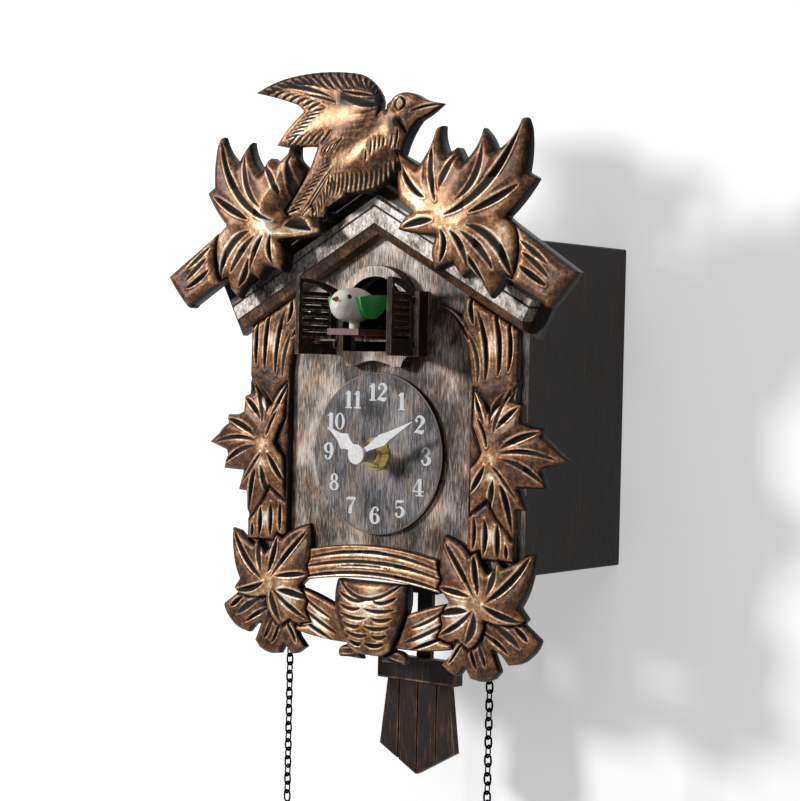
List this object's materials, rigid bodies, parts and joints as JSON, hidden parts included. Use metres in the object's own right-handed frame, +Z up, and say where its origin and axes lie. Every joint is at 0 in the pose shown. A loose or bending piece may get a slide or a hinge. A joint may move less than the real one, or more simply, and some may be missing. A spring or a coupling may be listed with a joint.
{
  "type": "cuckoo clock",
  "caption": "Wall-hung cuckoo clock with leaf and bird mouldings, louvred doors linked to a sliding cuckoo, round dial, planked pendulum and pine-cone weights on chains.",
  "frame": {"origin": "centre of the hanger hole, on the back face that lies against the wall", "axes": "+X to the viewer's right, +Y into the wall, +Z up; the clock's front looks along -Y"},
  "size_m": [0.228, 0.1161, 0.3898],
  "materials": {
    "wood_look_black": "satin wood-grain moulding with copper rub marks",
    "antique_bronze": "satin moulding, black in the hollows and bright copper on the edges",
    "brushed_panel": "fine brushed grey and copper over black",
    "dial_grey": "satin dark grey with printed white numerals",
    "hand_white": "smooth white paint",
    "grey_collar": "smooth pale grey",
    "threaded_brass": "bright",
    "bright_steel": "bright",
    "blackened_steel": "black oxide",
    "black_plastic": "satin",
    "board_green": "satin",
    "ivory_plastic": "smooth",
    "leaf_green": "smooth paint",
    "rose_red": "smooth paint",
    "mauve_brown": "satin",
    "steel_grey_drive": "natural white moulding",
    "pendulum_brown": "satin plank moulding with copper rub marks",
    "cone_bronze": "satin moulding with copper rub marks"
  },
  "bodies": {
    "clock_body": {"case": "wood_look_black", "back_cover": "black_plastic", "cover_screws": "bright_steel", "battery_box": "black_plastic", "battery_contacts": "bright_steel", "circuit_board": "board_green", "speaker": "black_plastic", "front_panel": "brushed_panel", "panel_screws": "bright_steel", "dial": "dial_grey", "movement": "black_plastic", "movement_bush": "threaded_brass", "dial_washer": "threaded_brass", "dial_nut": "threaded_brass", "roof_right": "antique_bronze", "roof_left": "antique_bronze", "vine_right": "antique_bronze", "vine_left": "antique_bronze", "corner_leaf_right": "antique_bronze", "corner_leaf_left": "antique_bronze", "lower_bar": "antique_bronze", "nest": "antique_bronze", "lower_branch_right": "antique_bronze", "lower_branch_left": "antique_bronze", "crown_leaf_right": "antique_bronze", "crown_leaf_left": "antique_bronze", "crown_bird": "antique_bronze", "door_surround": "antique_bronze", "hinge_pins": "bright_steel", "carriage_guide": "black_plastic", "drive_motor": "bright_steel", "pendulum_axle": "blackened_steel", "chain_eyes": "blackened_steel"},
    "minute_arm": {"minute_hand": "hand_white", "setting_knob": "black_plastic"},
    "hour_arm": {"hour_hand": "hand_white"},
    "door_leaf_right": {"door_right": "antique_bronze"},
    "door_leaf_left": {"door_left": "antique_bronze"},
    "link_right": {"door_link_right": "bright_steel"},
    "link_left": {"door_link_left": "bright_steel"},
    "cuckoo": {"cuckoo_carriage": "mauve_brown", "cuckoo_body": "ivory_plastic", "cuckoo_beak": "rose_red", "cuckoo_wings": "leaf_green"},
    "pinion": {"drive_pinion": "steel_grey_drive"},
    "pendulum": {"pendulum_hanger": "blackened_steel", "pendulum_rod": "blackened_steel", "pendulum_block": "pendulum_brown", "pendulum_bob": "pendulum_brown"},
    "weight_line_right": {"chain_right": "blackened_steel", "weight_right": "cone_bronze"},
    "weight_line_left": {"chain_left": "blackened_steel", "weight_left": "cone_bronze"},
    "lid": {"battery_lid": "black_plastic"},
    "switch": {"sound_switch": "black_plastic"}
  },
  "joints": [
    {"name": "cuckoo_slide", "type": "slide", "parent": "clock_body", "child": "cuckoo", "axis": [0, 1, 0], "range_m": [0, 0.03]},
    {"name": "door_hinge_right", "type": "hinge", "parent": "clock_body", "child": "door_leaf_right", "pos_m": [0.0216, -0.0882, -0.0143], "axis": [0, 0, 1], "range_deg": [-101, 0]},
    {"name": "door_hinge_left", "type": "hinge", "parent": "clock_body", "child": "door_leaf_left", "pos_m": [-0.0216, -0.0882, -0.0143], "axis": [0, 0, 1], "range_deg": [0, 101]},
    {"name": "link_pivot_right", "type": "hinge", "parent": "door_leaf_right", "child": "link_right", "pos_m": [0.02081, -0.10089, -0.0243], "axis": [0, 0, 1], "range_deg": [0, 6.8]},
    {"name": "link_pivot_left", "type": "hinge", "parent": "door_leaf_left", "child": "link_left", "pos_m": [-0.02081, -0.10089, -0.0243], "axis": [0, 0, 1], "range_deg": [-6.8, 0]},
    {"name": "pinion_spin", "type": "hinge", "parent": "clock_body", "child": "pinion", "pos_m": [0, -0.062, -0.03], "axis": [1, 0, 0], "range_deg": [-290, 10]},
    {"name": "minute_arbor", "type": "hinge", "parent": "clock_body", "child": "minute_arm", "pos_m": [0, -0.08, -0.0743], "axis": [0, 1, 0], "continuous": true},
    {"name": "hour_arbor", "type": "hinge", "parent": "clock_body", "child": "hour_arm", "pos_m": [0, -0.08, -0.0743], "axis": [0, 1, 0], "continuous": true},
    {"name": "pendulum_pivot", "type": "hinge", "parent": "clock_body", "child": "pendulum", "pos_m": [0, -0.043, -0.0943], "axis": [0, 1, 0], "range_deg": [-6, 6]},
    {"name": "chain_swing_right", "type": "hinge", "parent": "clock_body", "child": "weight_line_right", "pos_m": [0.0567, -0.0723, -0.132], "axis": [0, 1, 0], "range_deg": [-10, 10]},
    {"name": "chain_swing_left", "type": "hinge", "parent": "clock_body", "child": "weight_line_left", "pos_m": [-0.0567, -0.0723, -0.132], "axis": [0, 1, 0], "range_deg": [-10, 10]},
    {"name": "lid_hinge", "type": "hinge", "parent": "clock_body", "child": "lid", "pos_m": [0, -0.0011, -0.1175], "axis": [-1, 0, 0], "range_deg": [0, 100]},
    {"name": "switch_slide", "type": "slide", "parent": "clock_body", "child": "switch", "axis": [1, 0, 0], "range_m": [0, 0.003]}
  ],
  "couplings": [
    {"joint": "door_hinge_right", "follows": "cuckoo_slide", "rad_per_m": -58.758},
    {"joint": "door_hinge_left", "follows": "cuckoo_slide", "rad_per_m": 58.758},
    {"joint": "link_pivot_right", "follows": "cuckoo_slide", "rad_per_m": 3.9551},
    {"joint": "link_pivot_left", "follows": "cuckoo_slide", "rad_per_m": -3.9551},
    {"joint": "pinion_spin", "follows": "cuckoo_slide", "rad_per_m": -166.67},
    {"joint": "hour_arbor", "follows": "minute_arbor", "ratio": 0.083333}
  ]
}
